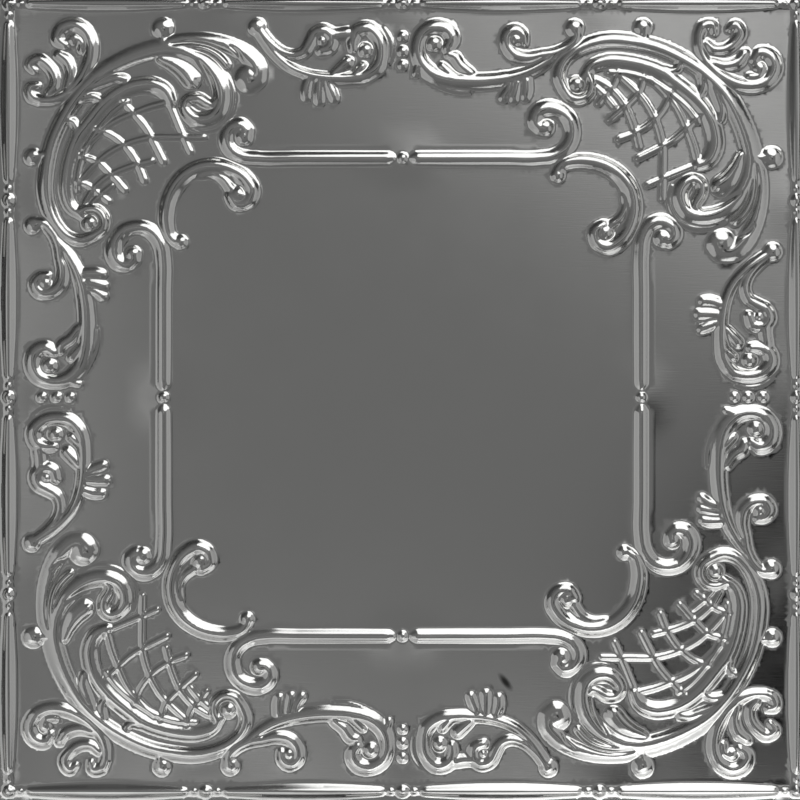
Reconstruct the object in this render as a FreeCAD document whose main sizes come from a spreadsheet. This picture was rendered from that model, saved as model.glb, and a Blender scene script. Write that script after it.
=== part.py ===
"""Pressed tin ceiling tile: one thin square sheet with raised scrollwork.

The sheet lies flat. X and Y run along its sides, Z is up through the raised
face, and the origin is the middle of the back at the bottom of the sheet.
One quarter is pressed, the upper left one, and turned to the other three.
Every raised line is a wall of the sheet's own gauge: a solid for its face and,
one gauge further in, a solid for the hollow behind it.
"""
import FreeCAD, Part
import math
import os

from FreeCAD import Vector

doc = FreeCAD.newDocument("ceiling_tile")

# Driving dimensions in millimetres

sheet = doc.addObject("Spreadsheet::Sheet", "Sizes")
DIMENSIONS = {
    "module_side": 609.6,      # centre to centre of the rim rods of one tile
    "lap_flange": 9.5,         # flat edge outside the rim rods, nailed and lapped
    "gauge": 0.3,              # thickness of the tinplate
    "rim_half_width": 4.4,
    "rim_rise": 2.6,
    "rim_gap": 26.0,           # between two rim rods, filled by the beads
    "frame_line": 184.6,       # middle of the inner frame's rods from the centre
    "frame_gap": 21.0,
    "rod_half_width": 5.8,
    "rod_rise": 3.6,
    "scroll_half_width": 6.6,
    "scroll_rise": 4.6,
    "horn_half_width": 6.0,    # bands of the horn of plenty
    "horn_rise": 4.8,
    "stem_half_width": 5.4,
    "stem_rise": 3.8,
    "leaf_half_width": 4.6,
    "leaf_rise": 3.2,
    "lobe_half_width": 4.0,    # small leaves and lobes
    "lobe_rise": 3.2,
    "knob_radius": 8.0,
    "knob_rise": 4.2,
    "bead_radius": 5.0,
    "bead_rise": 2.8,
    "side_bead_radius": 3.6,   # three in a row between the sprays of two quarters
    "chord_sag": 1.2,          # a curve's flat facets stay this close to it
    "chord_turn": 52.0,        # and no facet turns by more degrees than this
}
for row, (name, value) in enumerate(DIMENSIONS.items(), start=1):
    sheet.set(f"A{row}", name)
    sheet.set(f"B{row}", str(value))
    sheet.setAlias(f"B{row}", name)
doc.recompute()


def size(name):
    return float(sheet.get(name))


GAUGE = size("gauge")
SCALE = size("module_side") / 609.6    # the ornament grows with the module
PITCH = size("module_side") / 4        # from one bead cluster to the next
UP = Vector(0, 0, 1)
OUTER, INNER = "outer", "inner"


# The section of a raised line: its foot on the sheet, two slopes and a crown

def half_section(half, crown, rise, side):
    """Corners (offset, height) from the foot to the middle of one half."""
    slope = math.atan2(rise, half - crown)
    inset = GAUGE if side == INNER else 0
    floor = -0.6 if side == INNER else GAUGE / 2
    top = GAUGE + rise - inset
    foot = half + (GAUGE - inset / math.cos(slope) - floor) / math.tan(slope)
    flat = crown - inset * math.tan(slope / 2)
    if flat > 0.05:
        return [(foot, floor), (flat, top), (0, top)]
    ridge = GAUGE + half * math.tan(slope) - inset / math.cos(slope)
    return [(foot, floor), (0, ridge if crown == 0 else min(ridge, top))]


def section_corners(point, heading, half, crown, rise, side):
    """The whole section, upright across the heading at a point of the line."""
    across = heading.cross(UP)
    right = half_section(half, crown, rise, side)
    left = [(-u, z) for u, z in reversed(right) if u > 0]
    middle = right if right[-1][1] != right[-2][1] else right[:-1]
    return [point + across * u + UP * z for u, z in middle + left]


# A line's route: straight runs joined by tangent arcs

def stations(points):
    """Places and headings along a polygon whose corners are rounded off.

    An arc is cut into chords that stay within `chord_sag` of it.
    """
    points = [Vector(x, y, 0) for x, y in points]
    lengths = [a.distanceToPoint(b) for a, b in zip(points, points[1:])]
    shares = [1.0] + [0.5] * (len(lengths) - 2) + [1.0]
    heading = (points[1] - points[0]).normalize()
    places = [(points[0], heading)]
    for i in range(1, len(points) - 1):
        before = (points[i] - points[i - 1]).normalize()
        after = (points[i + 1] - points[i]).normalize()
        turn = math.atan2(before.cross(after).z, before.dot(after))
        tangent = min(lengths[i - 1] * shares[i - 1], lengths[i] * shares[i])
        radius = tangent / math.tan(abs(turn) / 2)
        first = points[i] - before * tangent
        centre = first + UP.cross(before) * math.copysign(radius, turn)
        step = min(2 * math.acos(1 - size("chord_sag") / radius), math.radians(size("chord_turn")))
        chords = max(1, math.ceil(abs(turn) / step - 0.1))
        for k in range(chords + 1):
            swing = FreeCAD.Rotation(UP, math.degrees(turn) * k / chords)
            place = centre + swing.multVec(first - centre)
            if place.distanceToPoint(places[-1][0]) > 1e-6:
                places.append((place, swing.multVec(before)))
    if points[-1].distanceToPoint(places[-1][0]) > 1e-6:
        places.append((points[-1], places[-1][1]))
    return places


def polygon_face(corners):
    return Part.Face(Part.makePolygon(corners + corners[:1]))


def closed_solid(faces):
    """The solid inside a set of faces, turned right side out."""
    shell = Part.makeShell(faces)
    shell.sewShape()
    solid = Part.makeSolid(shell)
    if solid.Volume < 0:
        solid.reverse()
    return solid.removeSplitter()


def faceted(base, crown):
    """Solid between two like rings of corners, one above the other."""
    faces = [polygon_face(base), polygon_face(crown)]
    for k in range(len(base)):
        faces.append(polygon_face([base[k - 1], base[k], crown[k], crown[k - 1]]))
    return closed_solid(faces)


def cap(point, heading, half, crown, rise, side, flanks=3):
    """The end of a line: three flat flanks that go on from its section."""
    rings = []
    for u, z in half_section(half, crown, rise, side):
        if u > 0:
            turns = [math.radians(180 * k / flanks - 90) for k in range(flanks + 1)]
            rings.append([point + UP * z + heading * (u * math.cos(a))
                          + UP.cross(heading) * (u * math.sin(a)) for a in turns])
        elif len(rings) == 1:
            rings.append([point + UP * z])
    base, top = rings
    if len(top) > 1:
        return faceted(base, top)
    flanks_to_top = [polygon_face([a, b, top[0]]) for a, b in zip(base, base[1:] + base[:1])]
    return closed_solid([polygon_face(base)] + flanks_to_top)


def raised_line(points, half, crown, rise, side, flanks=3):
    """One raised line: its length and its two ends."""
    places = stations(points)
    sections = [section_corners(place, heading, half, crown, rise, side)
                for place, heading in places]
    faces = [polygon_face(sections[0]), polygon_face(sections[-1])]
    for here, there in zip(sections, sections[1:]):
        faces += [polygon_face([here[k - 1], here[k], there[k], there[k - 1]])
                  for k in range(len(here))]
    first, last = places[0], places[-1]
    ends = [cap(first[0], first[1] * -1, half, crown, rise, side, flanks),
            cap(last[0], last[1], half, crown, rise, side, flanks)]
    return closed_solid(faces).multiFuse(ends)


def knob(x, y, radius, rise, side, sides):
    """A bead or ball beaten up from behind, with a few flat flanks."""
    turn = math.pi / sides
    rings = []
    for u, z in half_section(radius, 0.45 * radius, rise, side):
        if u > 0:
            reach = u / math.cos(turn)
            rings.append([Vector(x + reach * math.cos((2 * k + 1) * turn),
                                 y + reach * math.sin((2 * k + 1) * turn), z)
                          for k in range(sides)])
    return faceted(*rings)


# Ornament of the upper left quarter, in millimetres of a 24 inch tile

def scaled(points):
    return [(x * SCALE, y * SCALE) for x, y in points]


def ridges(routes, kind, side, crown=0, flanks=3):
    """Raised lines of one kind, named as its sizes are."""
    half, rise = size(f"{kind}_half_width"), size(f"{kind}_rise")
    return [raised_line(scaled(route), half, crown * half, rise, side, flanks)
            for route in routes]


def knobs(places, radius, rise, side, sides):
    return [knob(x, y, size(radius), size(rise), side, sides) for x, y in places]


def rim(side):
    """Rods and beads along the quarter's two edges."""
    half, rise = size("rim_half_width"), size("rim_rise")
    edge, gap = 2 * PITCH, size("rim_gap") / 2 + half
    lines = []
    for start in (-2 * PITCH, -PITCH):
        first, last = start + gap, start + PITCH - gap
        for route in ([(first, edge), (last, edge)], [(-edge, -first), (-edge, -last)]):
            lines.append(raised_line(route, half, 0.45 * half, rise, side))
    shared = [(0, edge), (-edge, 0)]
    own = [(-edge, edge), (-PITCH, edge), (-edge, PITCH)]
    return (lines + knobs(shared, "bead_radius", "bead_rise", side, 8)
            + knobs(own, "bead_radius", "bead_rise", side, 6))


def frame(side):
    """Two rods of the inner frame, each rolled into a volute at one end."""
    line, gap = size("frame_line"), size("frame_gap") / 2
    half, rise = size("rod_half_width"), size("rod_rise")
    upright = [(-line, gap), (-line, 132.4), (-line - 38.8, 132.4),
               (-line - 38.8, 104), (-line - 25, 104)]
    level = [(-gap, line), (-136.3, line), (-136.3, line + 25),
             (-118.7, line + 25), (-118.7, line + 14)]
    rods = [raised_line(scaled(route), half, 0.4 * half, rise, side)
            for route in (upright, level)]
    beads = scaled([(-line, 0), (0, line)])
    return rods + knobs(beads, "bead_radius", "bead_rise", side, 8)


C_SCROLL = [(-181.8, 122), (-181.8, 177.5), (-118.2, 177.5), (-118.2, 154)]
HORN_BACK = [(-232, 128), (-238, 121.5), (-270, 122), (-279, 190), (-243, 251),
             (-178, 272), (-136, 266), (-136, 212), (-154, 212)]
HORN_LIP = [(-250, 131), (-264, 150), (-256, 205), (-222, 243), (-177, 250), (-178, 225)]
BACK_LEAF = [(-184, 276), (-150, 280), (-118, 274), (-109, 252), (-113, 240)]
HORN_LOBES = [[(-176, 256), (-165, 243)], [(-168, 227), (-152, 229)], [(-238, 241), (-215, 248)],
              [(-158, 270), (-138, 261)]]
HORN_KNOBS = [(-185.5, 285.5), (-286, 186)]
HORN_EYES = [(-239, 138), (-159, 217), (-119, 247)]
LEFT_STEM = [(-262, 113), (-245, 88), (-243.5, 14), (-287, 11.5), (-287, 38.5), (-276, 38.5)]
LEFT_CURL = [(-285, 133), (-270, 131), (-262, 112), (-262, 82), (-284, 82), (-284, 90)]
LEFT_LOBES = [[(-252, 50), (-264, 38)], [(-247, 94), (-230, 96)], [(-244, 87), (-230, 80)]]
LEFT_EYES = [(-271, 30), (-275, 90)]
TOP_STEM = [(-112.5, 278), (-96, 257), (-68, 244.5), (-15.5, 243), (-15.5, 286.5),
            (-39, 286.5), (-39, 276)]
TOP_CURL = [(-112, 286), (-99, 267), (-74, 265), (-68.5, 286), (-56, 286)]
TOP_LOBES = [[(-68, 245), (-73, 231)], [(-61, 243), (-58, 230)], [(-57, 282), (-44, 281)]]
TOP_EYES = [(-32, 269)]
CORNER_LEAF = [(-283, 231), (-266, 229.5), (-246, 247), (-239.5, 272), (-240, 290), (-258, 290)]
CORNER_LOBES = [[(-269, 240), (-284, 260)], [(-257, 243), (-264, 264)]]
SIDE_BEADS = [(-257, 0), (-267.5, 0), (-279, 0), (0, 257), (0, 267.5), (0, 279)]


def horn(side):
    """Horn of plenty: its back and lip, the back leaf, lobes, volute and knobs."""
    lines = ridges([HORN_BACK], "horn", side)
    lines += ridges([HORN_LIP, BACK_LEAF], "leaf", side)
    lines += ridges(HORN_LOBES, "lobe", side, flanks=2)
    lines += knobs(scaled(HORN_EYES), "knob_radius", "rod_rise", side, 6)
    return lines + knobs(scaled(HORN_KNOBS), "knob_radius", "knob_rise", side, 6)


def corner_scroll(side):
    ends = knobs(scaled([(-174, 120), (-127, 156)]), "knob_radius", "rod_rise", side, 6)
    return ridges([C_SCROLL], "scroll", side) + ends


def side_spray(stem, curl, lobes, eyes, end_knob, side):
    """A stem and its branch, both rolled into scrolls, with small leaves."""
    lines = ridges([stem], "stem", side) + ridges([curl], "leaf", side)
    lines += ridges(lobes, "lobe", side, flanks=2)
    lines += knobs(scaled(eyes), "knob_radius", "rod_rise", side, 6)
    return lines + knobs(scaled([end_knob]), "knob_radius", "knob_rise", side, 6)


def corner_spray(side):
    return ridges([CORNER_LEAF], "leaf", side) + ridges(CORNER_LOBES, "lobe", side, flanks=2)


def joined(solids):
    whole = solids[0]
    for solid in solids[1:]:
        whole = whole.fuse(solid)
    return whole


def quarter(side):
    """Everything raised in one quarter, cut off where the next quarter begins."""
    groups = [rim(side), frame(side), corner_scroll(side), horn(side),
              side_spray(LEFT_STEM, LEFT_CURL, LEFT_LOBES, LEFT_EYES, (-285, 133), side),
              side_spray(TOP_STEM, TOP_CURL, TOP_LOBES, TOP_EYES, (-112.5, 286), side),
              corner_spray(side),
              knobs(scaled(SIDE_BEADS), "side_bead_radius", "bead_rise", side, 4)]
    reach = 3 * PITCH
    corner = Part.makeBox(reach, reach, 10, Vector(-reach, 0, -2))
    return joined([joined(group) for group in groups]).common(corner)


# The document: a flat quarter, what is raised from it and the hollows behind

flat = doc.addObject("Part::Box", "flat_quarter")
flat.setExpression("Length", "Sizes.module_side / 2 + Sizes.lap_flange")
flat.setExpression("Width", "Sizes.module_side / 2 + Sizes.lap_flange")
flat.setExpression("Height", "Sizes.gauge")
flat.setExpression("Placement.Base.x", "-Length")

raised = doc.addObject("Part::Feature", "raised_face")
raised.Shape = quarter(OUTER)
hollows = doc.addObject("Part::Feature", "hollows_behind")
hollows.Shape = quarter(INNER)

embossed = doc.addObject("Part::Fuse", "embossed_quarter")
embossed.Base = flat
embossed.Tool = raised
embossed.Refine = False

pressed = doc.addObject("Part::Cut", "pressed_quarter")
pressed.Base = embossed
pressed.Tool = hollows
pressed.Refine = False
doc.recompute()

quarters = [pressed]
for turn in (90, 180, 270):
    turned = doc.addObject("Part::Feature", f"quarter_turned_{turn}")
    turned.Shape = pressed.Shape.copy()
    turned.Placement = FreeCAD.Placement(Vector(), FreeCAD.Rotation(UP, turn))
    quarters.append(turned)

tile = doc.addObject("Part::MultiFuse", "pressed_sheet")
tile.Label = "pressed_sheet"
tile.Shapes = quarters
tile.Refine = False
doc.recompute()

for item in doc.Objects:
    if "Invalid" in item.State or "Error" in item.State:
        raise RuntimeError(f"{item.Label} did not build: {item.State}")
for item in (tile,):
    if item.Shape.isNull() or not item.Shape.isValid():
        raise RuntimeError(f"{item.Label} is not a valid shape")
    if len(item.Shape.Solids) != 1:
        raise RuntimeError(f"{item.Label} has {len(item.Shape.Solids)} solids")

os.makedirs("parts", exist_ok=True)
tile.Shape.exportStep(f"parts/{tile.Label}.step")
box = tile.Shape.BoundBox
print(f"{tile.Label}: {box.XLength:.1f} x {box.YLength:.1f} x {box.ZLength:.1f} mm, "
      f"{tile.Shape.Volume / 1000:.1f} cm3, {len(tile.Shape.Faces)} faces")
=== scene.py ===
import math

import bpy
import numpy as np
from bpy.props import FloatProperty, IntProperty, PointerProperty, StringProperty
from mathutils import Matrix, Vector


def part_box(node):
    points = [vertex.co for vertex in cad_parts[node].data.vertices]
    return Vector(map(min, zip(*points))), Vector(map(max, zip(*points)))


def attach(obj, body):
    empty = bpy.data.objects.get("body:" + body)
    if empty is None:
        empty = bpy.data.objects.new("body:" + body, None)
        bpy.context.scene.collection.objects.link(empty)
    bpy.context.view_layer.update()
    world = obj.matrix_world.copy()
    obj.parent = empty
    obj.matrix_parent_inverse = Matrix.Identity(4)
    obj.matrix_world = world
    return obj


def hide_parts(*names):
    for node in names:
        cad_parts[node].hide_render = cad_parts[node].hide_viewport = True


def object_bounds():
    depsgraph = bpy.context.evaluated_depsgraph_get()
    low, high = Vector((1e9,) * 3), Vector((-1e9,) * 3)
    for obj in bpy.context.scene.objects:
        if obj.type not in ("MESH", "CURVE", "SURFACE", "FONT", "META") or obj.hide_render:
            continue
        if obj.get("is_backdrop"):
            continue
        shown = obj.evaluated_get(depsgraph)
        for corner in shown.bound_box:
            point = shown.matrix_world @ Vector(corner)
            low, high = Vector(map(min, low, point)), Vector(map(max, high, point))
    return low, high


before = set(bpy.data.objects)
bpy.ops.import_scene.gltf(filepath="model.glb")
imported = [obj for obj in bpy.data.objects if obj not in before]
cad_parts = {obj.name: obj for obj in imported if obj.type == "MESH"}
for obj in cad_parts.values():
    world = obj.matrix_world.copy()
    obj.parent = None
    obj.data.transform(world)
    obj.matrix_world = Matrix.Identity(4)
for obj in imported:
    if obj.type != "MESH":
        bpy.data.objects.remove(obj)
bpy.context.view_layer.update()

bl_info = {
    "name": "Pressed tin ceiling tile",
    "version": (1, 0, 0),
    "blender": (4, 5, 0),
    "location": "3D View > Sidebar > Ceiling Tile",
    "description": "Builds a pressed tin ceiling tile over its packed frame and lights it",
    "category": "Object",
}

MM = 0.001

# Every stroke lies in the quarter whose corner is top left, in millimetres from the tile's centre, and the
# tile repeats it four times. A stroke is a name, its lean (where its crest sits between the two edges, the
# left of its travel positive) and its points: along, up, half width, height.

FRAME_STROKES = (
    ("upright rod and its volute", 0.0, (
        (-184.8, 11.5, 5.6, 3.3), (-184.8, 40, 5.8, 3.5), (-184.8, 80, 5.8, 3.5), (-184.8, 106, 5.9, 3.5),
        (-186.8, 118, 6.0, 3.6), (-193.5, 127.6, 6.0, 3.6), (-204, 131.6, 6.0, 3.7), (-214.5, 129, 6.3, 3.8),
        (-221.6, 120.5, 6.9, 3.9), (-223.2, 111, 7.0, 4.0), (-219.3, 104.3, 6.8, 4.0),
        (-212.5, 102.8, 6.2, 3.9), (-207.6, 107, 5.6, 3.8))),
    ("level rod and its hook", 0.0, (
        (-11.5, 184.8, 5.6, 3.3), (-40, 184.8, 5.8, 3.5), (-80, 184.8, 5.8, 3.5), (-112, 184.8, 5.8, 3.5),
        (-124, 186.2, 5.9, 3.6), (-132.6, 191.4, 6.2, 3.7), (-135.8, 200, 6.4, 3.9), (-132, 208, 6.6, 4.0),
        (-125.4, 210, 6.6, 4.0), (-120.6, 206, 6.0, 3.9))),
    ("corner scroll", 0.12, (
        (-173, 119.5, 4.6, 3.0), (-179.5, 124, 5.2, 3.6), (-182.4, 133, 5.8, 4.0), (-182.2, 145, 6.2, 4.3),
        (-178.4, 158, 6.4, 4.4), (-170.5, 169.2, 6.6, 4.5), (-159, 176.6, 6.8, 4.5),
        (-145.5, 178.6, 6.9, 4.5),
        (-132.5, 175.5, 7.0, 4.5), (-121.5, 168, 7.0, 4.5), (-116.6, 158.5, 6.8, 4.4),
        (-120.2, 151, 6.2, 4.1), (-128.3, 149.8, 6.0, 3.9), (-132.4, 155.5, 5.4, 3.7))),
    ("leaf inside the scroll", 0.0, (
        (-157, 171, 2.4, 1.6), (-147, 172.5, 3.4, 2.4), (-138, 168.5, 4.2, 3.0), (-133, 161.5, 4.4, 3.2))),
)

HORN_STROKES = (
    ("horn's outer band", -0.2, (
        (-238.5, 124.5, 5, 3.7), (-248, 121, 5, 3.8), (-259, 124, 5, 3.8), (-267.4, 132.5, 5.2, 3.9),
        (-273.6, 145, 5.8, 4), (-276.6, 160, 6.2, 4.2), (-275.6, 176, 6.2, 4.4), (-271.6, 195.5, 6.2, 4.5),
        (-262.6, 216, 6.2, 4.6), (-250.4, 234.6, 6.4, 4.7), (-237.6, 248, 7, 4.7, -0.25),
        (-220, 259, 7.6, 4.7, -0.3), (-200.4, 267.2, 8.2, 4.7, -0.35), (-185, 270.4, 8.4, 4.6, -0.3),
        (-171, 268.4, 8.2, 4.6, -0.2), (-157.4, 262, 8, 4.6, -0.2), (-147, 252.6, 7.8, 4.6, -0.2),
        (-140.4, 241, 7.4, 4.6, -0.2), (-139.2, 229.6, 7.2, 4.6, -0.2), (-142.2, 220.4, 7, 4.5, -0.2),
        (-149.4, 215, 6.8, 4.4, -0.2), (-158, 214.4, 6.6, 4.3, -0.1), (-165, 218.6, 5.8, 4.1, 0),
        (-168.6, 225.4, 5, 3.9, 0), (-165.4, 230.6, 4.6, 3.9, 0), (-158, 231.2, 4.8, 4, 0),
        (-151.6, 227.6, 4.6, 3.9, 0), (-147, 226, 3.8, 3.8, 0), (-143.6, 230, 3, 3.5, 0))),
    ("lower bulb's curl", 0.0, (
        (-251, 143, 3.6, 3.2), (-243.6, 146, 3.8, 3.8), (-235.4, 144.6, 4.2, 4.1), (-230.6, 137.6, 4.4, 4.3),
        (-232, 130, 4.6, 4.2), (-238.5, 125, 4.8, 3.9))),
    ("horn's inner band", 0.15, (
        (-248, 141, 4, 2.8), (-256, 147, 5, 3.1), (-259.8, 158, 6, 3.3), (-259.4, 172, 6.2, 3.3),
        (-256.6, 186, 6.2, 3.3), (-251.4, 200, 6.2, 3.3), (-242, 213, 6.2, 3.4), (-231.6, 225.4, 6.4, 3.5),
        (-219.5, 235.4, 6.6, 3.6), (-206, 240.8, 6.8, 3.7), (-193, 241.4, 6.8, 3.8),
        (-183.4, 236.4, 6.2, 3.8), (-179.4, 228.4, 4.8, 3.4))),
    ("reed beside the inner band", 0.0, (
        (-251.6, 160, 2, 2), (-251, 172, 2.2, 2.2), (-247.2, 187, 2.3, 2.2), (-240.6, 200, 2.3, 2.2),
        (-232, 211.6, 2.3, 2.1), (-222.4, 222, 2.3, 2), (-213, 229, 2, 2))),
    ("back leaf", -0.3, (
        (-190, 271.6, 4.6, 3.6), (-176, 276, 5.2, 3.6), (-160, 277.4, 5.4, 3.6), (-145, 275.8, 5.8, 3.6),
        (-131, 271.2, 6.4, 3.7), (-119, 264, 7.2, 3.8), (-111.6, 254.6, 7.2, 3.9), (-111.6, 246, 6.8, 3.9),
        (-118, 241, 6.6, 3.9))),
    ("inner back leaf", 0.0, (
        (-174, 272.4, 2.4, 3.4), (-162, 271.4, 3.2, 3.9), (-150, 268.6, 3.6, 4), (-141.6, 263.4, 3.8, 3.8),
        (-135.6, 257.2, 3.6, 3.4))),
    ("leaf over the volute", -0.35, (
        (-186, 262.4, 5, 3.8), (-176, 258.6, 7, 4.3), (-167.6, 253, 8.4, 4.5), (-163, 246.6, 8.2, 4.4))),
    ("edge round the volute", 0.0, (
        (-136.4, 250.4, 1.6, 0.8), (-131.8, 241, 2, 1.3), (-130.6, 231, 2.2, 1.5),
        (-132.4, 221.4, 2.2, 1.5), (-137.6, 213.2, 2.2, 1.5), (-146, 207.8, 2.2, 1.5),
        (-155.6, 206.6, 2, 1.3), (-163, 209, 1.6, 0.9))),
    ("upper curl of the band", 0.0, (
        (-243, 239, 4.6, 3.8), (-231, 244, 5, 3.7), (-221, 247, 5, 3.6), (-215, 246, 4.2, 3.2))),
    ("leaf tip of the band", 0.0, (
        (-249, 231, 3.8, 3.6), (-240, 232.8, 4.4, 3.2), (-233, 229.6, 3.2, 2.7))),
    ("small curl of the band", 0.0, (
        (-267, 208.6, 3, 2.8), (-261, 213.6, 3.3, 3), (-255.2, 213.4, 3.3, 3), (-252.4, 208.4, 3, 2.8),
        (-254.6, 203.8, 2.2, 2.2))),
    ("stem of the left knob", 0.0, ((-286, 186, 4.0, 3.0), (-279, 187.6, 3.0, 2.8), (-275, 188, 3.0, 2.8))),
    ("stem of the top knob", 0.0, ((-185.6, 284, 4.0, 3.0), (-185.4, 277, 3.6, 3.0), (-185, 272, 3.6, 3.0))),
)

LATTICE_STROKES = (
    ("first down bar", 0.0, ((-178.6, 224, 2.1, 1.8), (-170.8, 205, 2.1, 1.8), (-164, 189.6, 2.2, 1.7))),
    ("second down bar", 0.0, (
        (-218, 230, 2.2, 2.0), (-207.8, 219.6, 2.2, 1.8), (-199, 209.4, 2.2, 1.8), (-190.6, 194, 2.3, 1.8),
        (-184.8, 182.4, 2.5, 1.7))),
    ("third down bar", 0.0, (
        (-238, 208, 2.2, 2.0), (-226, 203.4, 2.2, 1.8), (-214, 194, 2.2, 1.8), (-205, 181, 2.3, 1.8),
        (-199.6, 167.6, 2.5, 1.7))),
    ("fourth down bar", 0.0, (
        (-250, 187, 2.2, 2.0), (-237, 183, 2.2, 1.8), (-226, 173, 2.2, 1.8), (-214.6, 160.4, 2.5, 1.7))),
    ("fifth down bar", 0.0, (
        (-253, 167, 2.2, 2.0), (-243, 163.8, 2.2, 1.8), (-234, 156.6, 2.3, 1.8), (-227.4, 151.6, 2.4, 1.7))),
    ("first cross bar", 0.0, (
        (-247, 192, 2.2, 2.0), (-237, 202, 2.2, 1.8), (-224, 212.6, 2.2, 1.8), (-208, 220, 2.3, 1.8),
        (-196, 224.6, 2.5, 2.0), (-183, 228, 2.5, 2.2))),
    ("second cross bar", 0.0, (
        (-249, 168, 2.2, 2.0), (-240, 178, 2.2, 1.8), (-228, 188.6, 2.2, 1.8), (-214, 196, 2.2, 1.8),
        (-196, 201, 2.2, 1.8), (-175, 201.4, 2.2, 1.8), (-153.6, 201.2, 2.4, 1.7))),
    ("third cross bar", 0.0, (
        (-246, 150, 2.2, 2.0), (-240, 160, 2.2, 1.8), (-228.6, 170.6, 2.2, 1.8), (-214, 177.6, 2.2, 1.8),
        (-194, 183, 2.5, 1.7))),
    ("lowest spur", 0.0, ((-240, 150, 2.4, 1.9), (-232, 158, 2.2, 1.8), (-224.6, 164, 2.2, 1.7))),
)

SIDE_STROKES = (
    ("left branch", 0.0, (
        (-286, 133.5, 5.0, 3.4), (-278.6, 134.6, 4.6, 3.4), (-271.6, 128.6, 4.6, 3.4),
        (-266.8, 119, 4.6, 3.4),
        (-264.6, 108, 4.8, 3.4), (-262.6, 97, 5.2, 3.5), (-265, 86.6, 5.6, 3.6), (-272.4, 81, 5.6, 3.6),
        (-280.6, 81.6, 5.8, 3.7), (-284, 87.6, 5.4, 3.6), (-280, 93, 4.6, 3.5), (-274.4, 94, 3.6, 3.0))),
    ("left stem and scroll", -0.1, (
        (-266, 121, 3.6, 3.0), (-260, 112.6, 4.4, 3.3), (-253.6, 101.6, 5.4, 3.5), (-248, 87, 6.0, 3.7),
        (-244.9, 70, 6.4, 3.8), (-244.2, 52, 6.8, 3.9), (-245.6, 35.6, 6.9, 3.9), (-250.6, 21.8, 6.8, 3.9),
        (-260, 13.6, 6.4, 3.9), (-271.6, 11.9, 6.0, 3.9), (-281.6, 16, 6.4, 3.9), (-286.4, 25.6, 6.6, 4.0),
        (-284, 35, 6.6, 4.0), (-276.6, 38.6, 6.0, 3.9), (-270, 35, 5.0, 3.6))),
    ("leaf in the left scroll", 0.0, (
        (-250.6, 53, 4.0, 3.0), (-257, 44.6, 4.8, 3.3), (-263.6, 39.8, 4.8, 3.3), (-264.6, 35.2, 3.4, 2.8))),
    ("lobe of the left stem", 0.0, (
        (-247, 41, 4.0, 3.0), (-251.6, 35.4, 4.2, 3.0), (-256.4, 30.6, 3.4, 2.6))),
    ("foot of the left scroll", 0.0, ((-256, 12, 3.4, 2.8), (-250.4, 10.4, 3.0, 2.4))),
    ("left fan, first", 0.0, (
        (-245, 95.8, 5, 3), (-236, 95.8, 5, 2.8), (-232.8, 95.2, 4.4, 2.6))),
    ("left fan, second", 0.0, (
        (-243, 88.8, 4.8, 3), (-234, 86.8, 4.8, 2.8), (-231.4, 86.2, 4.4, 2.6))),
    ("left fan, third", 0.0, (
        (-242, 83.6, 4, 3), (-235, 80.4, 4.2, 2.8), (-231.8, 78, 4.2, 2.5))),
    ("edge of the left scroll", 0.0, (
        (-236.2, 53, 1.6, 0.8), (-236.8, 42, 1.8, 1.2), (-240, 31, 1.8, 1.2), (-244.6, 22, 1.6, 0.8))),
    ("top stem and scroll", 0.1, (
        (-111, 283, 4.6, 3.3), (-105, 273.4, 4.2, 3.4), (-97, 263.6, 4, 3.5), (-86, 254.6, 4, 3.6),
        (-72, 249.2, 4.2, 3.7), (-57, 246.8, 4.9, 3.8), (-42, 246.6, 5.6, 3.8), (-28, 248.8, 5.8, 3.9),
        (-18.6, 256, 5.8, 3.9), (-16, 267, 5.8, 3.9), (-18.8, 278.6, 6, 4), (-27, 285.4, 6.2, 4),
        (-35.6, 283, 6, 3.9), (-38.4, 275.6, 5.2, 3.7), (-38.4, 269.6, 4.2, 3.4))),
    ("top branch", 0.0, (
        (-110, 284, 4.2, 3.2), (-101.4, 273.4, 4.2, 3.3), (-92.4, 266.8, 4.2, 3.3),
        (-83.6, 264.8, 4.4, 3.4), (-76, 267.6, 4.8, 3.5), (-71.6, 274.4, 5.4, 3.6),
        (-67.4, 281.6, 5.6, 3.7), (-60.4, 283.6, 5.8, 3.7), (-55, 278, 5.6, 3.6), (-56.4, 270.6, 5.2, 3.5),
        (-63, 268.2, 4.6, 3.4))),
    ("web between the top scrolls", 0.0, (
        (-58, 281, 5.6, 3.2), (-50, 280.4, 5.6, 3.2), (-42, 281.6, 5.6, 3.2))),
    ("hook in the top scroll", 0.0, (
        (-52.6, 251, 3.6, 3), (-47, 255.2, 5, 3.5), (-42.4, 259.4, 5.2, 3.6))),
    ("second lobe in the top scroll", 0.0, (
        (-39, 248, 3, 3), (-34, 252.6, 3.8, 3.4), (-30.8, 256.2, 3.8, 3.4))),
    ("edge of the top scroll", 0.0, (
        (-14, 285.4, 1.6, 0.8), (-9, 276.6, 1.8, 1.2), (-8, 267, 1.8, 1.2), (-10.4, 257.6, 1.6, 0.8))),
    ("top fan, first", 0.0, (
        (-72, 246, 4.6, 3), (-74.4, 238, 5, 2.9), (-74.4, 232.8, 4.6, 2.6))),
    ("top fan, second", 0.0, (
        (-64, 244, 5, 3), (-64.4, 236, 5.4, 2.9), (-64.4, 229.8, 5, 2.6))),
    ("top fan, third", 0.0, (
        (-58, 244, 4.4, 3), (-55, 237, 4.8, 2.9), (-52.8, 231.6, 4.4, 2.6))),
)

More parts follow.
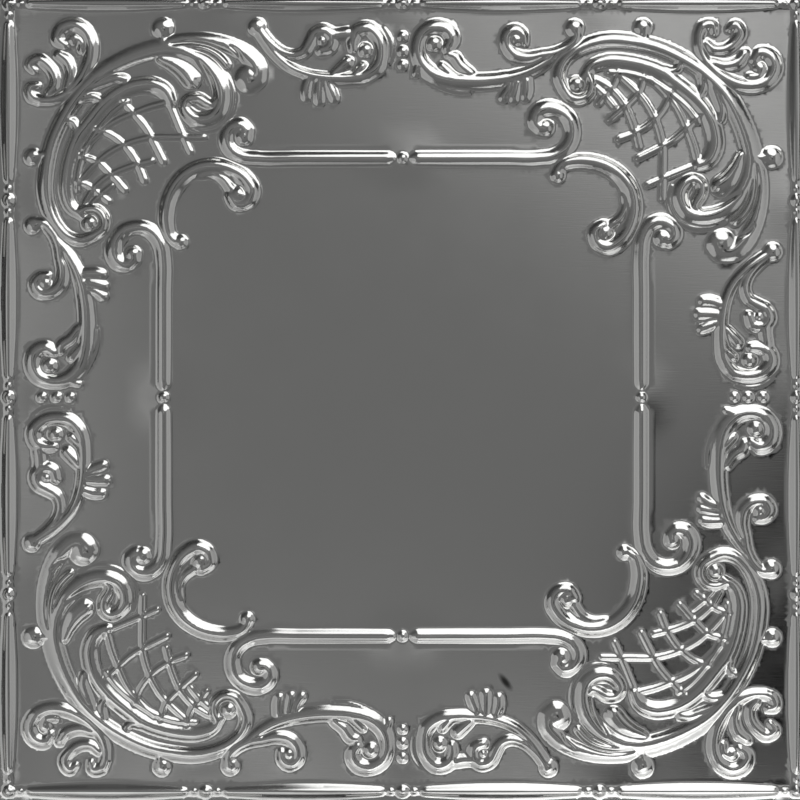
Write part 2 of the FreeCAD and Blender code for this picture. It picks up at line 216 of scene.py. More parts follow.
CORNER_STROKES = (
    ("corner hook", 0.1, (
        (-281, 229.4, 4.4, 3.2), (-271.6, 229.6, 4.6, 3.3), (-262, 233, 4.9, 3.4), (-253, 240.6, 5.2, 3.5),
        (-246, 250.4, 5.4, 3.6), (-241.4, 262, 5.6, 3.8), (-241, 274, 5.8, 3.9), (-246, 284, 6.0, 3.9),
        (-255.4, 288.4, 6.2, 3.9), (-264, 284.8, 6.0, 3.8), (-266.8, 277, 5.2, 3.6), (-261, 272, 4.2, 3.2))),
    ("lower left lobe", 0.0, (
        (-279, 229.6, 4.2, 3.1), (-286.6, 232.6, 5.0, 3.4), (-288, 239.6, 4.4, 3.3),
        (-282.4, 241, 3.2, 2.8))),
    ("left lobe", 0.0, (
        (-274, 235, 3.6, 2.9), (-269, 241, 4.2, 3.2), (-269.4, 249.6, 4.4, 3.2), (-274.4, 257, 4.6, 3.3),
        (-282, 261.4, 5.0, 3.4), (-288, 257.4, 4.4, 3.3), (-284.6, 252.6, 3.0, 2.8))),
    ("middle lobe", 0.0, (
        (-259, 240, 4.2, 3.0), (-256.6, 250, 4.6, 3.2), (-259.6, 260, 5.0, 3.3), (-266, 265, 4.4, 3.1))),
    ("eye of the hook", 0.0, ((-254, 279, 3.4, 2.8), (-248.6, 275, 3.6, 3.0), (-248, 268.6, 3.4, 2.8))),
)

# Round knobs and beads: along, up, radius, height.
KNOBS = (
    (-185.5, 285.5, 8.6, 3.9), (-286, 186, 7.0, 3.6), (-285.4, 133, 7.2, 3.7), (-112.6, 286.4, 7.2, 3.7),
    (-208.6, 110.6, 6.8, 4.3), (-123, 201.4, 7.6, 4.3), (-171.6, 120, 5.8, 3.7), (-127, 156.4, 7.2, 4.5),
    (-242, 134.6, 6.6, 4.4), (-118.8, 246.6, 11.6, 4.7), (-273.4, 24.4, 6.8, 4.1),
    (-276.4, 88, 5.4, 3.8), (-28.6, 268.4, 6.2, 3.9), (-62.4, 275.8, 3.8, 3.7), (-254.6, 276.6, 5.6, 3.2),
    (-184.8, 0, 4.4, 3.0), (-184.8, 8, 3.2, 2.2), (-8, 184.8, 3.2, 2.2),
    (-257, 0, 4.0, 2.4), (-267.5, 0, 4.6, 2.8), (-279, 0, 4.2, 2.6),
)

# Grooves pressed back into the relief: name, then along, up, half width, share of the height taken away.
GROOVES = (
    ("slit of the volute", ((-158, 260, 1.6, 0.3), (-152.6, 252, 2.6, 0.75), (-148.6, 243.6, 3.0, 0.8),
                            (-147.8, 235, 2.6, 0.7))),
    ("slit over the volute", ((-178, 273.4, 1.4, 0.3), (-164, 274.6, 1.9, 0.75), (-151.6, 272.6, 1.9, 0.75),
                              (-141.2, 267.6, 1.9, 0.75), (-135.4, 261.6, 1.8, 0.6),
                              (-132.6, 254.6, 1.8, 0.5))),
    ("slit under the inner leaf", ((-161, 268.6, 1.4, 0.3), (-150.4, 265, 1.8, 0.7),
                                   (-142.8, 259.6, 1.8, 0.7), (-137, 252.4, 1.8, 0.5))),
    ("slit in the back leaf", ((-133, 271.4, 1.5, 0.4), (-127, 266, 1.9, 0.7), (-124.4, 259.4, 1.8, 0.5))),
    ("slit of the frame volute", ((-213, 127, 1.6, 0.2), (-217, 119, 2.0, 0.5), (-216, 111, 2.0, 0.4))),
    ("slit in the scroll's bulb", ((-131, 171, 1.5, 0.3), (-125.6, 166, 1.8, 0.5), (-122, 159, 1.8, 0.4))),
    ("slit in the left stem", ((-262, 108, 1.6, 0.4), (-256, 97, 1.8, 0.5), (-251.6, 82, 1.8, 0.3))),
)

# Soft buckles left by the press: along, up, half its reach along and up, share of the buckle height.
BUCKLES = ((-184, 0, 11, 17, 1.5), (-150, 303, 20, 14, 1.0), (-2, 303, 20, 14, 1.0), (-303, 150, 14, 20, 1.0))

# The rim's rods and beads, in millimetres. A large bead with a small one on each side parts two rods.
ROD_END = 17.6                 # from the large bead's centre to the end of a rod
ROD_TAPER = 5                  # how far a rod narrows towards its end
ROD_TIP = 0.9                  # share of its width and height that it keeps there
RIM_BEAD = (5.0, 2.8)          # radius and height
SMALL_RIM_BEAD = (2.4, 1.4)
RIM_BEAD_STEP = 9              # from the large bead's centre to a small one's

# How the sections round off, as powers. A higher first power is fuller on top, a higher second softer below.
ROD_POWER = 1.8
BAND_POWER = 1.9
BAR_POWER = 2.0
STROKE_FOOT = 1.12
KNOB_POWER, KNOB_FOOT = 2.2, 0.95

# Sizes that the press gives, in millimetres.
STROKE_STEP = 1.3              # between the points that a stroke's path is drawn with
FILLET = 0.5                   # where two forms meet
SOFTNESS = 0.9                 # how far the press rounds the face off
RIM_SWELL = (1.0, 2.0)         # height and half reach of the swell under the rim
EDGE_STRIP = 1.2               # quite flat outside this
EDGE_FADE = (1.5, 8)           # where the swell dies out: from the cut edge, and over how much
TOP_CLEARANCE = 0.02           # between the highest point and the top of the solid's box
TOP_ROUNDING = 0.5             # depth over which heights near that limit are pressed down to it

# How the back's hollows differ from the ridges, so that the coarser back keeps clear of the face.
HOLLOW_MARGIN = 5              # grid cells narrower on each side
HOLLOW_DEPTH = 0.3             # millimetres shallower
HOLLOW_SOFTNESS = 1.5          # millimetres
BACK_UNDER = 6                 # times as far as the back may lie over its shape, it may lie under it
MOST_TRIANGLES = 199000

# Fields of the room's ceiling: east, north (as parts of a direction), reach, light added. The direction's
# upward part is about the same for them all.
CEILING_UP = 0.97
CEILING_FIELDS = (
    (0.2, -0.13, 0.14, -0.16), (0.19, -0.05, 0.09, -0.12), (0.14, 0.16, 0.13, 0.4),
    (0.18, 0.06, 0.07, 0.18), (0.03, 0.18, 0.1, 0.22), (-0.18, 0.05, 0.07, 0.24),
    (-0.18, -0.035, 0.07, 0.24), (-0.18, 0.14, 0.05, 0.24), (-0.08, -0.185, 0.09, 0.3),
    (0.06, -0.185, 0.08, 0.24), (-0.01, -0.09, 0.05, 0.05), (0.14, -0.12, 0.07, -0.09),
    (0.17, -0.175, 0.04, 0.1),
)


def linear(code):
    """A hex sRGB colour as four linear numbers."""
    parts = [int(code[i:i + 2], 16) / 255 for i in (1, 3, 5)]
    return tuple(c / 12.92 if c <= 0.04045 else ((c + 0.055) / 1.055) ** 2.4 for c in parts) + (1.0,)


def add_node(tree, kind, settings=None, links=None):
    """Adds a node, sets its attributes and inputs, and links its inputs from other sockets."""
    node = tree.nodes.new(kind)
    for name, value in (settings or {}).items():
        if isinstance(name, int) or name in node.inputs:
            node.inputs[name].default_value = value
        else:
            setattr(node, name, value)
    for name, socket in (links or {}).items():
        tree.links.new(socket, node.inputs[name])
    return node


def hermite(points):
    """A smooth path through the points, sampled about every STROKE_STEP millimetres."""
    p = np.array(points, float)
    gap = np.maximum(np.hypot(*np.diff(p[:, :2], axis=0).T), 1e-6)
    way = np.diff(p, axis=0) / gap[:, None]
    slope = np.empty_like(p)
    slope[0], slope[-1] = way[0], way[-1]
    if len(p) > 2:
        before, after = gap[:-1, None], gap[1:, None]
        slope[1:-1] = (way[:-1] * after + way[1:] * before) / (before + after)
    rows = []
    for i, length in enumerate(gap):
        count = max(2, int(round(length / STROKE_STEP)))
        t = np.arange(count)[:, None] / count
        rows.append((2 * t**3 - 3 * t**2 + 1) * p[i] + (t**3 - 2 * t**2 + t) * length * slope[i]
                    + (3 * t**2 - 2 * t**3) * p[i + 1] + (t**3 - t**2) * length * slope[i + 1])
    return np.vstack(rows + [p[-1:]])


class Relief:
    """The height of the pressed ornament over a square grid, in millimetres."""

    def __init__(self, half_side, count):
        self.at = np.linspace(-half_side, half_side, count)
        self.pitch = self.at[1] - self.at[0]
        self.half_side = half_side
        self.height = np.zeros((count, count))

    def window(self, x0, x1, y0, y1):
        """The slices of rows (up) and columns (along) that cover a rectangle."""
        def span(a, b):
            low = max(0, int((a + self.half_side) / self.pitch))
            return slice(low, max(low + 1, min(len(self.at), int((b + self.half_side) / self.pitch) + 2)))
        return span(y0, y1), span(x0, x1)

    def along(self, points):
        """Where each grid point lies across a stroke (-1 to 1 within it), with its height and lean there."""
        path = hermite(points)
        reach = path[:, 2].max() + 1
        rows, cols = self.window(path[:, 0].min() - reach, path[:, 0].max() + reach,
                                 path[:, 1].min() - reach, path[:, 1].max() + reach)
        across = np.full((rows.stop - rows.start, cols.stop - cols.start), 9.0)
        crest, lean = np.zeros_like(across), np.zeros_like(across)
        for a, b in zip(path[:-1], path[1:]):
            r = max(a[2], b[2]) + 0.7
            near_rows, near_cols = self.window(min(a[0], b[0]) - r, max(a[0], b[0]) + r,
                                               min(a[1], b[1]) - r, max(a[1], b[1]) + r)
            x = self.at[near_cols][None, :] - a[0]
            y = self.at[near_rows][:, None] - a[1]
            d = b - a
            t = np.clip((x * d[0] + y * d[1]) / (d[0]**2 + d[1]**2 + 1e-12), 0, 1)
            u = np.hypot(x - t * d[0], y - t * d[1]) / (a[2] + t * d[2])
            u = np.where(x * d[1] - y * d[0] > 0, -u, u)
            here = (slice(near_rows.start - rows.start, near_rows.stop - rows.start),
                    slice(near_cols.start - cols.start, near_cols.stop - cols.start))
            nearer = np.abs(u) < np.abs(across[here])
            across[here] = np.where(nearer, u, across[here])
            crest[here] = np.where(nearer, a[3] + t * d[3], crest[here])
            lean[here] = np.where(nearer, a[4] + t * d[4], lean[here])
        return rows, cols, across, crest, lean

    def merge(self, rows, cols, lift):
        """Raises the relief to lift, with a small fillet where two forms meet."""
        old = self.height[rows, cols]
        fillet = np.clip(1 - np.abs(old - lift) / FILLET, 0, 1)**2 * FILLET / 4
        both = np.clip(np.minimum(old, lift) / FILLET, 0, 1)
        self.height[rows, cols] = np.maximum(old, lift) + fillet * both

    def stroke(self, points, lean, power):
        """A ridge along the points, its crest leaning to one side of them."""
        rows, cols, across, crest, lean = self.along([(tuple(p) + (lean,))[:5] for p in points])
        v = np.abs(np.where(across > lean, (across - lean) / (1 - lean), (across - lean) / (1 + lean)))
        self.merge(rows, cols, crest * np.clip(1 - np.minimum(v, 1)**power, 0, 1)**STROKE_FOOT)

    def knob(self, x, y, radius, height):
        """A round knob."""
        rows, cols = self.window(x - radius - 1, x + radius + 1, y - radius - 1, y + radius + 1)
        v = np.hypot(self.at[cols][None, :] - x, self.at[rows][:, None] - y) / radius
        self.merge(rows, cols, height * np.clip(1 - np.minimum(v, 1)**KNOB_POWER, 0, 1)**KNOB_FOOT)

    def groove(self, points):
        """A valley that takes a share of the height away."""
        rows, cols, across, share, _ = self.along([p + (0.0,) for p in points])
        self.height[rows, cols] *= 1 - share * np.clip(1 - across**2, 0, 1)**1.5

    def swell(self, x, y, wide, tall, height):
        """The heights of a broad soft rise of the flat sheet."""
        dx, dy = self.at[None, :] - x, self.at[:, None] - y
        return height * np.exp(-(dx / wide)**2 / 2 - (dy / tall)**2 / 2)

    def blur(self, radius):
        """Softens the relief, as a press does that never quite reaches the corners of its die."""
        reach = int(3 * radius / self.pitch) + 1
        taps = np.exp(-(np.arange(-reach, reach + 1) * self.pitch / radius)**2 / 2)
        taps /= taps.sum()
        for axis in (0, 1):
            padded = np.pad(self.height, [(reach, reach) if a == axis else (0, 0) for a in (0, 1)], "edge")
            n = self.height.shape[axis]
            self.height = sum(k * np.take(padded, np.arange(i, i + n), axis=axis)
                              for i, k in enumerate(taps))


def kept_points(fields, more):
    """Which grid points a right-triangle mesh keeps so that no field strays from its own flat triangles.

    A field is a grid of values with how far the triangles may lie over it and under it. The grid has a power
    of two plus one points a side, and more adds points to be kept."""
    n = more.shape[0] - 1
    keep = more.copy()

    def misses(r, c, ends):
        """Where the mean of two ends is too far from the middle; ends are offsets of one of the two."""
        found = False
        for field, over, under in fields:
            gap = sum(np.where(share, field[r - dr, c - dc] + field[r + dr, c + dc], 0)
                      for dr, dc, share in ends) / 2 - field[r, c]
            found = found | (gap > over) | (gap < -under)
        return found

    step = 2
    while step <= n:
        h, q = step // 2, step // 4
        # Middles of the level and upright edges, kept too where a finer cell beside them is.
        for rows, cols, dr, dc in ((slice(0, n + 1, step), slice(h, n, step), 0, h),
                                   (slice(h, n, step), slice(0, n + 1, step), h, 0)):
            r, c = np.arange(n + 1)[rows][:, None], np.arange(n + 1)[cols][None, :]
            keep[r, c] |= misses(r, c, ((dr, dc, True),))
            for sr, sc in ((-q, -q), (-q, q), (q, -q), (q, q)) if q else ():
                inside = (r + sr >= 0) & (r + sr <= n) & (c + sc >= 0) & (c + sc <= n)
                keep[r, c] |= keep[np.clip(r + sr, 0, n), np.clip(c + sc, 0, n)] & inside
        # Middles of the cells, whose diagonal turns from cell to cell.
        r, c = np.arange(h, n, step)[:, None], np.arange(h, n, step)[None, :]
        rising = (r // step + c // step) % 2 == 0
        keep[r, c] |= misses(r, c, ((h, h, rising), (h, -h, ~rising)))
        keep[r, c] |= keep[r - h, c] | keep[r + h, c] | keep[r, c - h] | keep[r, c + h]
        step *= 2
    return keep


def triangles(keep):
    """The triangles of the right-triangle mesh over the kept grid points, as rows of flat grid indices."""
    n = keep.shape[0] - 1
    side = n + 1
    flat = keep.ravel()
    work = np.array([[0, n * side + n, n * side], [n * side + n, 0, n]], dtype=np.int64)
    done = []
    while len(work):
        a, b, c = work.T
        ra, ca, rb, cb = a // side, a % side, b // side, b % side
        can = ((ra + rb) % 2 == 0) & ((ca + cb) % 2 == 0)
        mid = (ra + rb) // 2 * side + (ca + cb) // 2
        split = can & flat[mid]
        done.append(work[~split])
        s = work[split]
        m = mid[split]
        work = np.concatenate((np.stack((s[:, 2], s[:, 0], m), 1), np.stack((s[:, 1], s[:, 2], m), 1)))
    return np.concatenate(done)


class TinSheetSettings(bpy.types.PropertyGroup):
    gauge: FloatProperty(name="Gauge", description="Thickness of the sheet", default=0.3 * MM,
                         subtype="DISTANCE", unit="LENGTH")
    relief: FloatProperty(name="Relief", description="Share of the die's depth the press reached",
                          default=1.0, min=0.5, max=1.05, subtype="FACTOR")
    grid: IntProperty(name="Grid", description="Cells along a side, a power of two", default=1024)
    face_miss: FloatProperty(name="Face tolerance", description="How far the face may miss the pressing",
                             default=0.3 * MM, subtype="DISTANCE", unit="LENGTH")
    lean_miss: FloatProperty(name="Slope tolerance", description="How far the face's slope may miss it, as a "
                             "rise for each unit along", default=0.09)
    back_miss: FloatProperty(name="Back tolerance", description="How far the back may miss the pressing",
                             default=0.4 * MM, subtype="DISTANCE", unit="LENGTH")
    rim_line: FloatProperty(name="Rim line", description="From the centre to the bead round the edge",
                            default=304.8 * MM, subtype="DISTANCE", unit="LENGTH")
    rim_half: FloatProperty(name="Rim half width", description="Half the width of the rim's bead",
                            default=4.2 * MM, subtype="DISTANCE", unit="LENGTH")
    rim_rise: FloatProperty(name="Rim rise", description="Height of the rim's bead", default=2.5 * MM,
                            subtype="DISTANCE", unit="LENGTH")
    buckle: FloatProperty(name="Buckle", description="Height of the soft buckles left by the press",
                          default=0.5 * MM, subtype="DISTANCE", unit="LENGTH")


class TileStageSettings(bpy.types.PropertyGroup):
    floor: StringProperty(name="Floor", description="Colour of the floor", default="#E6E6E4")
    floor_side: FloatProperty(name="Floor side", description="Length of the floor's side", default=6.0,
                              subtype="DISTANCE", unit="LENGTH")
    surround: FloatProperty(name="Surround", description="Light the room gives all round", default=0.165)
    top_lamp: FloatProperty(name="Top lamp", description="Glow of the soft box beyond the top edge",
                            default=1.3)
    bottom_lamp: FloatProperty(name="Bottom lamps", description="Glow of the right soft box beyond the "
                               "bottom edge, twice the left one's", default=0.4)
    low_lamp: FloatProperty(name="Low lamps", description="Glow of the right strip near the floor, twice the "
                            "left one's", default=0.8)
    side_lamp: FloatProperty(name="Side lamps", description="Glow of the soft boxes beyond the sides",
                             default=0.29)
    camera_height: FloatProperty(name="Camera height", description="Above the floor", default=1.72,
                                 subtype="DISTANCE", unit="LENGTH")
    lens: FloatProperty(name="Lens", description="Focal length in millimetres", default=100.0)


def quarter_relief(settings, half_side):
    """One quarter of the die: its strokes, knobs and grooves, then its two sides of the rim."""
    relief = Relief(half_side, settings.grid + 1)
    for strokes, power in ((LATTICE_STROKES, BAR_POWER), (FRAME_STROKES, ROD_POWER),
                           (HORN_STROKES + SIDE_STROKES + CORNER_STROKES, BAND_POWER)):
        for _, lean, points in strokes:
            relief.stroke(points, lean, power)
    for x, y, radius, height in KNOBS:
        relief.knob(x, y, radius, height)
    for _, points in GROOVES:
        relief.groove(points)
    line, half, rise = settings.rim_line / MM, settings.rim_half / MM, settings.rim_rise / MM
    pitch = line / 2
    for start in (-line, -pitch):
        a, b = start + ROD_END, start + pitch - ROD_END
        tip = (half * ROD_TIP, rise * ROD_TIP)
        rod = ((a, line) + tip, (a + ROD_TAPER, line, half, rise), (b - ROD_TAPER, line, half, rise),
               (b, line) + tip)
        relief.stroke(rod, 0.0, ROD_POWER)
        relief.stroke(tuple((-y, -x, w, h) for x, y, w, h in rod), 0.0, ROD_POWER)
    for centre in (-line, -pitch, 0.0):
        relief.knob(centre, line, *RIM_BEAD)
        relief.knob(-line, -centre, *RIM_BEAD)
        for off in (-RIM_BEAD_STEP, RIM_BEAD_STEP):
            relief.knob(centre + off, line, *SMALL_RIM_BEAD)
            relief.knob(-line, -centre + off, *SMALL_RIM_BEAD)
    return relief


def pressed_relief(settings):
    """The whole tile's relief: the quarter turned four times, softened, with the sheet's buckles."""
    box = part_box("pressed_sheet")
    half_side = (box[1][0] - box[0][0]) / 2 / MM
    quarter = quarter_relief(settings, half_side)
    whole = Relief(half_side, settings.grid + 1)
    every = slice(0, None)
    for turn in range(4):
        whole.merge(every, every, np.rot90(quarter.height, turn))
    whole.blur(SOFTNESS)
    buckles = sum(whole.swell(x, y, wide, tall, share * settings.buckle / MM)
                  for x, y, wide, tall, share in BUCKLES)
    soft = sum(np.rot90(buckles, turn) for turn in range(4))
    reach = np.maximum(np.abs(whole.at)[None, :], np.abs(whole.at)[:, None])
    height, spread = RIM_SWELL
    soft += height * np.exp(-((reach - settings.rim_line / MM) / spread)**2 / 2)
    start, fade = EDGE_FADE
    soft *= np.clip((half_side - start - reach) / fade, 0, 1)
    whole.height = whole.height * settings.relief + soft
    limit = (box[1][2] - box[0][2]) / MM - settings.gauge / MM - TOP_CLEARANCE - TOP_ROUNDING
    over = np.maximum(whole.height - limit, 0)
    whole.height = np.where(over > 0, limit + TOP_ROUNDING * (1 - np.exp(-over / TOP_ROUNDING)), whole.height)
    whole.height[reach > half_side - EDGE_STRIP] = 0
    return whole


def hollow(relief):
    """The heights of the sheet's back, whose hollows are narrower, shallower and softer than the ridges."""
    back = Relief(relief.half_side, len(relief.at))
    back.height = np.maximum(relief.height, 0)
    for axis in (0, 1):
        room = [(HOLLOW_MARGIN, HOLLOW_MARGIN) if a == axis else (0, 0) for a in (0, 1)]
        padded = np.pad(back.height, room, "edge")
        back.height = np.min([np.take(padded, np.arange(i, i + len(relief.at)), axis=axis)
                              for i in range(2 * HOLLOW_MARGIN + 1)], axis=0)
    back.blur(HOLLOW_SOFTNESS)
    return np.maximum(back.height - HOLLOW_DEPTH, 0)


def sheet_mesh(settings):
    """The pressed sheet as one closed mesh: face, back and the four cut edges."""
    relief = pressed_relief(settings)
    z = np.maximum(relief.height, 0)
    back = hollow(relief)
    gauge = settings.gauge / MM
    n = settings.grid
    none = np.zeros(z.shape, bool)
    ring = none.copy()
    ring[0], ring[-1], ring[:, 0], ring[:, -1] = True, True, True, True
    dzdy, dzdx = np.gradient(z, relief.pitch)
    miss, lean, back_miss = settings.face_miss / MM, settings.lean_miss, settings.back_miss / MM
    face_fields = ((z, miss, miss), (dzdx, lean, lean), (dzdy, lean, lean))
    face_keep = kept_points(face_fields, none)
    back_keep = kept_points(((back, back_miss, BACK_UNDER * back_miss),), face_keep & ring)
    face_keep = kept_points(face_fields, back_keep & ring)
    points, normals, tris = [], [], []
    index = {}
    for name, keep, level, flip in (("face", face_keep, z + gauge, False), ("back", back_keep, back, True)):
        t = triangles(keep)
        used, inverse = np.unique(t, return_inverse=True)
        t = inverse.reshape(t.shape)
        r, c = used // (n + 1), used % (n + 1)
        xy = np.stack((relief.at[c], relief.at[r], level[r, c]), 1)
        a, b, d = xy[t[:, 0]], xy[t[:, 1]], xy[t[:, 2]]
        turned = ((b - a)[:, 0] * (d - a)[:, 1] - (b - a)[:, 1] * (d - a)[:, 0] < 0) != flip
        t[turned] = t[turned][:, ::-1]
        base = sum(len(p) for p in points)
        points.append(xy)
        up = np.stack((-dzdx[r, c], -dzdy[r, c], np.ones(len(r))), 1)
        up /= np.linalg.norm(up, axis=1)[:, None]
        normals.append(-up if flip else up)
        tris.append(t + base)
        edge = {}
        for side, mask, key in (("low", r == 0, c), ("right", c == n, r), ("high", r == n, -c),
                                ("left", c == 0, -r)):
            rows = np.nonzero(mask)[0]
            edge[side] = rows[np.argsort(key[rows])] + base
        index[name] = edge
    walls = [list(index["face"][s][::-1]) + list(index["back"][s]) for s in ("low", "right", "high", "left")]
    faces = [tuple(int(i) for i in f) for f in list(np.concatenate(tris)) + walls]
    mesh = bpy.data.meshes.new("pressed_tin_sheet")
    mesh.from_pydata((np.concatenate(points) * MM).tolist(), [], faces)
    count = sum(len(t) for t in tris)
    smooth = np.ones(len(faces), bool)
    smooth[count:] = False
    mesh.polygons.foreach_set("use_smooth", smooth)
    flat = [Vector(v) for v in ((0, -1, 0), (1, 0, 0), (0, 1, 0), (-1, 0, 0))]
    corner = np.concatenate(normals)[np.concatenate(tris).ravel()].tolist()
    for w, direction in zip(walls, flat):
        corner += [tuple(direction)] * len(w)
    mesh.normals_split_custom_set(corner)
    mesh.validate()
    return mesh


def tin_material():
    """Hot-dipped tin on cold-pressed steel sheet, rolled and then drawn over a die."""
    material = bpy.data.materials.new("Tinplate, cold-pressed")
    material.use_nodes = True
    tree = material.node_tree
    tree.nodes.clear()
    place = add_node(tree, "ShaderNodeTexCoord").outputs["Object"]
    # Rolling marks run along the sheet, 0.6 mm apart here so that they show at all; they break the sheen.
    stretched = add_node(tree, "ShaderNodeMapping", {"Scale": (60.0, 1600.0, 1.0)}, {"Vector": place})
    rolled = add_node(tree, "ShaderNodeTexNoise", {"Scale": 1.0, "Detail": 2.0, "Roughness": 0.5},
                      {"Vector": stretched.outputs["Vector"]})
    # The tin coat dulls in patches of about 40 mm, which gives the flats their slow change of tone.
    patches = add_node(tree, "ShaderNodeTexNoise", {"Scale": 25.0, "Detail": 3.0, "Roughness": 0.55},
                       {"Vector": place})
    mixed = add_node(tree, "ShaderNodeMix", {"data_type": "FLOAT", "Factor": 0.4},
                     {"A": patches.outputs["Fac"], "B": rolled.outputs["Fac"]})
    rough = add_node(tree, "ShaderNodeMapRange", {"From Min": 0.3, "From Max": 0.7, "To Min": 0.11,
                                                  "To Max": 0.15}, {"Value": mixed.outputs["Result"]})
    bump = add_node(tree, "ShaderNodeBump", {"Strength": 0.06, "Distance": 0.0002},
                    {"Height": rolled.outputs["Fac"]})
    # The base colour is darkened in one soft spot, about 20 mm long, beside the lower right fan: the one dark
    # spot there.
    dark_spot = add_node(tree, "ShaderNodeMapping", {"vector_type": "TEXTURE",
                                                 "Location": (79.7 * MM, -220.3 * MM, 0.0),
                                                 "Rotation": (0.0, 0.0, math.radians(-52)),
                                                 "Scale": (10.5 * MM, 3.8 * MM, 1.0)}, {"Vector": place})
    far = add_node(tree, "ShaderNodeVectorMath", {"operation": "LENGTH"}, {0: dark_spot.outputs["Vector"]})
    spot_free = add_node(tree, "ShaderNodeMapRange", {"interpolation_type": "SMOOTHSTEP", "From Min": 0.2,
                                                  "From Max": 1.0}, {"Value": far.outputs["Value"]})
    # Tin reflects a little warm of neutral; it gives the cool grey flats and the clear white slopes. In the
    # dark spot the colour keeps about a seventh of that. Sockets 6 and 7 are the two colours that the node
    # mixes.
    colour = add_node(tree, "ShaderNodeMix", {"data_type": "RGBA", 6: linear("#5A5A58"),
                                              7: linear("#E2E2E0")}, {0: spot_free.outputs["Result"]})
    metal = add_node(tree, "ShaderNodeBsdfPrincipled", {"Metallic": 1.0},
                     {"Base Color": colour.outputs[2], "Roughness": rough.outputs["Result"],
                      "Normal": bump.outputs["Normal"]})
    add_node(tree, "ShaderNodeOutputMaterial", None, {"Surface": metal.outputs["BSDF"]})
    return material


def plain_material(name, colour, roughness):
    """A matt painted board."""
    material = bpy.data.materials.new(name)
    material.use_nodes = True
    shader = material.node_tree.nodes["Principled BSDF"]
    shader.inputs["Base Color"].default_value = linear(colour)
    shader.inputs["Roughness"].default_value = roughness
    return material


def floor_board(stage):
    """A plain pale floor, level with the sheet's underside."""
    low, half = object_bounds()[0][2], stage.floor_side / 2
    mesh = bpy.data.meshes.new("floor")
    mesh.from_pydata([(-half, -half, low), (half, -half, low), (half, half, low), (-half, half, low)],
                     [], [(0, 1, 2, 3)])
    mesh.materials.append(plain_material("Floor, matt paint", stage.floor, 0.8))
    return bpy.data.objects.new("floor", mesh)


def room_world(stage):
    """The room that the metal mirrors; the camera itself sees plain white."""
    world = bpy.data.worlds.new("Surround")
    world.use_nodes = True
    tree = world.node_tree
    tree.nodes.clear()
    way = add_node(tree, "ShaderNodeTexCoord").outputs["Generated"]
    height = add_node(tree, "ShaderNodeSeparateXYZ", None, {"Vector": way})
    # The room is plain overhead and darker low down, where it gives the steep slopes their dark edges.
    room = add_node(tree, "ShaderNodeMapRange", {"From Min": 0.1, "From Max": 0.8,
                                                 "To Min": 0.2 * stage.surround, "To Max": stage.surround},
                    {"Value": height.outputs["Z"]})
    glow = room.outputs["Result"]
    # Soft lighter and darker fields of the ceiling, which the flat sheet mirrors towards its edges.
    for east, north, reach, amount in CEILING_FIELDS:
        away = add_node(tree, "ShaderNodeVectorMath", {"operation": "DISTANCE", 1: (east, north, CEILING_UP)},
                        {0: way})
        field = add_node(tree, "ShaderNodeMapRange", {"interpolation_type": "SMOOTHSTEP", "From Min": 0.0,
                                                      "From Max": reach, "To Min": amount, "To Max": 0.0},
                         {"Value": away.outputs["Value"]})
        glow = add_node(tree, "ShaderNodeMath", {"operation": "ADD", "use_clamp": False},
                        {0: glow, 1: field.outputs["Result"]}).outputs[0]
    mirrored = add_node(tree, "ShaderNodeBackground", {"Color": linear("#FFFFFF")}, {"Strength": glow})
    white = add_node(tree, "ShaderNodeBackground", {"Color": linear("#FFFFFF"), "Strength": 1.0})
    path = add_node(tree, "ShaderNodeLightPath")
    seen = add_node(tree, "ShaderNodeMixShader", None, {0: path.outputs["Is Camera Ray"],
                                                        1: mirrored.outputs[0], 2: white.outputs[0]})
    add_node(tree, "ShaderNodeOutputWorld", None, {"Surface": seen.outputs[0]})
    return world


def tile_camera(stage):
    """A camera that looks straight down, over the picture's middle, 2 mm down and left of the tile's."""
    data = bpy.data.cameras.new("camera")
    data.lens = stage.lens
    data.clip_end = 50.0
    camera = bpy.data.objects.new("camera", data)
    camera.location = (-1.9 * MM, -2.1 * MM, stage.camera_height)
    return camera


class OBJECT_OT_pressed_tin_sheet(bpy.types.Operator):
    """Builds the pressed tin sheet in place of its frame piece"""
    bl_idname = "object.pressed_tin_sheet"
    bl_label = "Pressed tin sheet"

    def execute(self, context):
        mesh = sheet_mesh(context.scene.tin_sheet)
        if sum(len(face.vertices) - 2 for face in mesh.polygons) > MOST_TRIANGLES:
            raise RuntimeError("the sheet has too many triangles")
        sheet = bpy.data.objects.new("pressed_tin_sheet", mesh)
        context.scene.collection.objects.link(sheet)
        mesh.materials.append(tin_material())
        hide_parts("pressed_sheet")
        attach(sheet, "root")
        return {"FINISHED"}


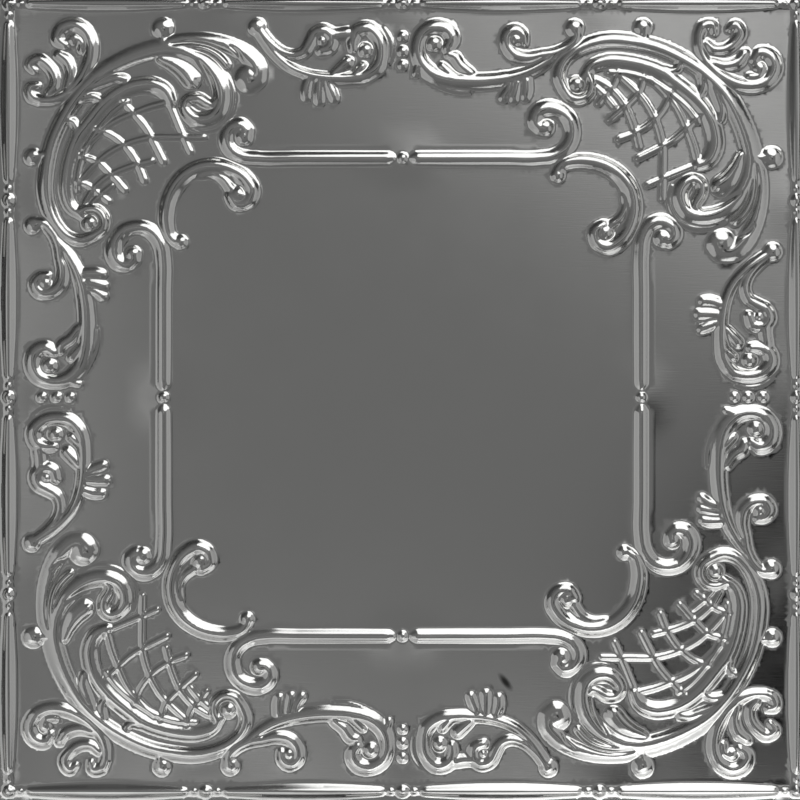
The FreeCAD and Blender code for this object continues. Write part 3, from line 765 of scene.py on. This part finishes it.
class OBJECT_OT_tile_stage(bpy.types.Operator):
    """Adds the floor, the lamps, the surround and the camera"""
    bl_idname = "object.tile_stage"
    bl_label = "Stage"

    def lamp(self, context, name, place, aim, size, glow, spread=180.0):
        """An oval soft box that faces the point it aims at; glow is how bright its face looks.

        A spread under 180 degrees stands for the grid in front of it, which hides it from the side."""
        data = bpy.data.lights.new(name, "AREA")
        data.shape = "ELLIPSE"
        data.size, data.size_y = size
        data.energy = glow * size[0] * size[1] * math.pi**2 / 4
        data.spread = math.radians(spread)
        light = bpy.data.objects.new(name, data)
        light.location = place
        towards = Vector(aim) - Vector(place)
        light.rotation_euler = towards.to_track_quat("-Z", "Y").to_euler()
        context.scene.collection.objects.link(light)
        light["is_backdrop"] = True

    def execute(self, context):
        scene, stage = context.scene, context.scene.tile_stage
        floor = floor_board(stage)
        scene.collection.objects.link(floor)
        floor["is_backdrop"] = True
        self.lamp(context, "top_lamp", (0.4, 0.95, 1.0), (0.04, 0, 1.0), (1.3, 1.8), stage.top_lamp)
        for name, side, share in (("right", 1, 1.0), ("left", -1, 0.5)):
            self.lamp(context, name + "_bottom_lamp", (side * 0.38, -0.6, 0.3), (side * 0.33, -0.42, 0),
                      (0.84, 0.4), share * stage.bottom_lamp, spread=90)
            self.lamp(context, name + "_low_lamp", (side * 0.4, -0.65, 0.13), (side * 0.3, 0, 0.13),
                      (0.88, 0.22), share * stage.low_lamp)
        self.lamp(context, "left_lamp", (-1.0, -0.4, 0.9), (0, 0, 0.9), (1.65, 1.55), stage.side_lamp)
        self.lamp(context, "right_lamp", (1.2, 0.1, 0.7), (0, 0, 0.7), (1.75, 1.1), stage.side_lamp)
        scene.world = room_world(stage)
        scene.camera = tile_camera(stage)
        scene.collection.objects.link(scene.camera)
        scene.view_settings.view_transform = "Standard"
        return {"FINISHED"}


class VIEW3D_PT_ceiling_tile(bpy.types.Panel):
    """Shows each group of settings with the button that builds from it"""
    bl_label = "Ceiling Tile"
    bl_idname = "VIEW3D_PT_ceiling_tile"
    bl_space_type = "VIEW_3D"
    bl_region_type = "UI"
    bl_category = "Ceiling Tile"

    def draw(self, context):
        for group, operator in ((context.scene.tin_sheet, OBJECT_OT_pressed_tin_sheet),
                                (context.scene.tile_stage, OBJECT_OT_tile_stage)):
            box = self.layout.box()
            for name in group.__annotations__:
                box.prop(group, name)
            box.operator(operator.bl_idname)


CLASSES = (TinSheetSettings, TileStageSettings, OBJECT_OT_pressed_tin_sheet, OBJECT_OT_tile_stage,
           VIEW3D_PT_ceiling_tile)


def register():
    for item in CLASSES:
        bpy.utils.register_class(item)
    bpy.types.Scene.tin_sheet = PointerProperty(type=TinSheetSettings)
    bpy.types.Scene.tile_stage = PointerProperty(type=TileStageSettings)


def unregister():
    del bpy.types.Scene.tile_stage
    del bpy.types.Scene.tin_sheet
    for item in reversed(CLASSES):
        bpy.utils.unregister_class(item)


def main():
    register()
    bpy.ops.object.pressed_tin_sheet()
    bpy.ops.object.tile_stage()
    bpy.context.view_layer.update()


if __name__ == "__main__":
    main()
